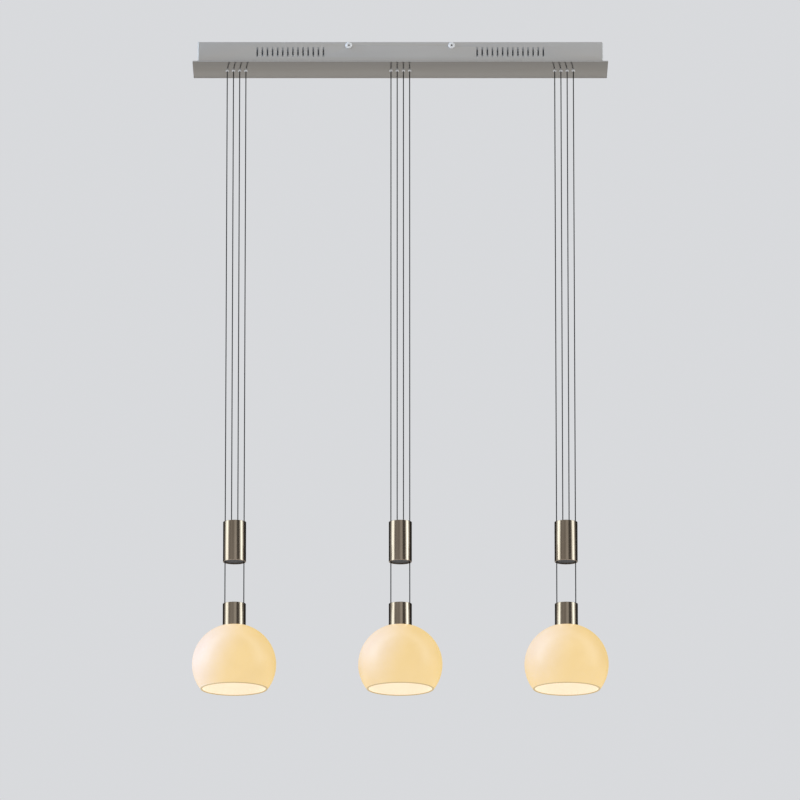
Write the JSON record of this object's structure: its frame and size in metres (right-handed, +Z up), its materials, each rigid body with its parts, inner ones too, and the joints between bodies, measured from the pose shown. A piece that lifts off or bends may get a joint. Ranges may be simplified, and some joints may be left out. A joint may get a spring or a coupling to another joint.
{
  "type": "rise and fall pendant",
  "caption": "Ceiling light with opal glass shades on a long canopy; each shade hangs by two thin ropes with a cylindrical counterweight and slides up or down to any height.",
  "frame": {"origin": "in the ceiling plane, at the centre of the ceiling bracket's two slots", "axes": "+X along the canopy, +Y towards its back, +Z up"},
  "size_m": [0.8, 0.16, 1.2614],
  "materials": {
    "satin_nickel": "satin nickel plate, fine brushing",
    "polished_nickel": "glossy satin nickel plate",
    "chrome": "polished chrome plate",
    "zinc_steel": "zinc-plated steel",
    "driver_case": "moulded, light grey",
    "terminal_white": "moulded, white",
    "black_moulding": "moulded, black, fine grain",
    "bronze_leaf": "rolled bronze",
    "pulley_brass": "turned brass",
    "brass_clamp": "turned brass",
    "black_rope": "stranded steel in a thin black coat",
    "lead_sheath": "smooth insulation",
    "core_iron": "turned, dark",
    "holder_ceramic": "matt white",
    "ring_nickel": "nickel-plated brass",
    "opal_glass": "opal glass, satin, lit from inside",
    "bulb_glass": "frosted capsule"
  },
  "bodies": {
    "canopy": {"ceiling_bracket": "zinc_steel", "canopy_housing": "satin_nickel", "bottom_plate": "satin_nickel", "canopy_screws": "chrome", "plate_studs": "zinc_steel", "plate_nuts": "zinc_steel", "led_drivers": "driver_case", "terminal_block": "terminal_white", "pulley_frames": "black_moulding", "pulley_axles": "zinc_steel", "contact_springs": "bronze_leaf", "rope_bushes": "chrome", "rope_loops": "black_rope", "mains_leads": "lead_sheath", "output_leads": "lead_sheath"},
    "rope_falls_left": {"lamp_ropes_left": "black_rope", "weight_ropes_left": "black_rope"},
    "lamp_head_left": {"holder_cap_left": "polished_nickel", "clamp_block_left": "black_moulding", "lamp_rope_clamps_left": "brass_clamp", "lamp_holder_left": "holder_ceramic", "shade_ring_left": "ring_nickel", "glass_shade_left": "opal_glass", "bulb_left": "bulb_glass"},
    "counterweight_left": {"weight_sleeve_left": "polished_nickel", "weight_core_left": "core_iron", "weight_guides_left": "black_moulding", "weight_rope_clamps_left": "brass_clamp"},
    "pulley_left_a": {"pulley_left_a": "pulley_brass"},
    "pulley_left_b": {"pulley_left_b": "pulley_brass"},
    "rope_falls_middle": {"lamp_ropes_middle": "black_rope", "weight_ropes_middle": "black_rope"},
    "lamp_head_middle": {"holder_cap_middle": "polished_nickel", "clamp_block_middle": "black_moulding", "lamp_rope_clamps_middle": "brass_clamp", "lamp_holder_middle": "holder_ceramic", "shade_ring_middle": "ring_nickel", "glass_shade_middle": "opal_glass", "bulb_middle": "bulb_glass"},
    "counterweight_middle": {"weight_sleeve_middle": "polished_nickel", "weight_core_middle": "core_iron", "weight_guides_middle": "black_moulding", "weight_rope_clamps_middle": "brass_clamp"},
    "pulley_middle_a": {"pulley_middle_a": "pulley_brass"},
    "pulley_middle_b": {"pulley_middle_b": "pulley_brass"},
    "rope_falls_right": {"lamp_ropes_right": "black_rope", "weight_ropes_right": "black_rope"},
    "lamp_head_right": {"holder_cap_right": "polished_nickel", "clamp_block_right": "black_moulding", "lamp_rope_clamps_right": "brass_clamp", "lamp_holder_right": "holder_ceramic", "shade_ring_right": "ring_nickel", "glass_shade_right": "opal_glass", "bulb_right": "bulb_glass"},
    "counterweight_right": {"weight_sleeve_right": "polished_nickel", "weight_core_right": "core_iron", "weight_guides_right": "black_moulding", "weight_rope_clamps_right": "brass_clamp"},
    "pulley_right_a": {"pulley_right_a": "pulley_brass"},
    "pulley_right_b": {"pulley_right_b": "pulley_brass"}
  },
  "joints": [
    {"name": "sway_left", "type": "hinge", "parent": "canopy", "child": "rope_falls_left", "pos_m": [-0.316, 0, -0.045], "axis": [1, 0, 0], "range_deg": [-15, 15]},
    {"name": "lamp_height_left", "type": "slide", "parent": "rope_falls_left", "child": "lamp_head_left", "axis": [0, 0, 1], "range_m": [-0.8, 0.04], "deforming": ["lamp_ropes_left"]},
    {"name": "weight_height_left", "type": "slide", "parent": "rope_falls_left", "child": "counterweight_left", "axis": [0, 0, 1], "range_m": [-0.04, 0.8], "deforming": ["weight_ropes_left"]},
    {"name": "pulley_spin_left_a", "type": "hinge", "parent": "canopy", "child": "pulley_left_a", "pos_m": [-0.328, 0, -0.026], "axis": [0, 1, 0], "continuous": true},
    {"name": "pulley_spin_left_b", "type": "hinge", "parent": "canopy", "child": "pulley_left_b", "pos_m": [-0.304, 0, -0.026], "axis": [0, 1, 0], "continuous": true},
    {"name": "sway_middle", "type": "hinge", "parent": "canopy", "child": "rope_falls_middle", "pos_m": [0, 0, -0.045], "axis": [1, 0, 0], "range_deg": [-15, 15]},
    {"name": "lamp_height_middle", "type": "slide", "parent": "rope_falls_middle", "child": "lamp_head_middle", "axis": [0, 0, 1], "range_m": [-0.8, 0.04], "deforming": ["lamp_ropes_middle"]},
    {"name": "weight_height_middle", "type": "slide", "parent": "rope_falls_middle", "child": "counterweight_middle", "axis": [0, 0, 1], "range_m": [-0.04, 0.8], "deforming": ["weight_ropes_middle"]},
    {"name": "pulley_spin_middle_a", "type": "hinge", "parent": "canopy", "child": "pulley_middle_a", "pos_m": [-0.012, 0, -0.026], "axis": [0, 1, 0], "continuous": true},
    {"name": "pulley_spin_middle_b", "type": "hinge", "parent": "canopy", "child": "pulley_middle_b", "pos_m": [0.012, 0, -0.026], "axis": [0, 1, 0], "continuous": true},
    {"name": "sway_right", "type": "hinge", "parent": "canopy", "child": "rope_falls_right", "pos_m": [0.316, 0, -0.045], "axis": [1, 0, 0], "range_deg": [-15, 15]},
    {"name": "lamp_height_right", "type": "slide", "parent": "rope_falls_right", "child": "lamp_head_right", "axis": [0, 0, 1], "range_m": [-0.8, 0.04], "deforming": ["lamp_ropes_right"]},
    {"name": "weight_height_right", "type": "slide", "parent": "rope_falls_right", "child": "counterweight_right", "axis": [0, 0, 1], "range_m": [-0.04, 0.8], "deforming": ["weight_ropes_right"]},
    {"name": "pulley_spin_right_a", "type": "hinge", "parent": "canopy", "child": "pulley_right_a", "pos_m": [0.304, 0, -0.026], "axis": [0, 1, 0], "continuous": true},
    {"name": "pulley_spin_right_b", "type": "hinge", "parent": "canopy", "child": "pulley_right_b", "pos_m": [0.328, 0, -0.026], "axis": [0, 1, 0], "continuous": true}
  ],
  "couplings": [
    {"joint": "weight_height_left", "follows": "lamp_height_left", "ratio": -1},
    {"joint": "pulley_spin_left_a", "follows": "lamp_height_left", "rad_per_m": 166.67},
    {"joint": "pulley_spin_left_b", "follows": "lamp_height_left", "rad_per_m": -166.67},
    {"joint": "weight_height_middle", "follows": "lamp_height_middle", "ratio": -1},
    {"joint": "pulley_spin_middle_a", "follows": "lamp_height_middle", "rad_per_m": 166.67},
    {"joint": "pulley_spin_middle_b", "follows": "lamp_height_middle", "rad_per_m": -166.67},
    {"joint": "weight_height_right", "follows": "lamp_height_right", "ratio": -1},
    {"joint": "pulley_spin_right_a", "follows": "lamp_height_right", "rad_per_m": 166.67},
    {"joint": "pulley_spin_right_b", "follows": "lamp_height_right", "rad_per_m": -166.67}
  ]
}
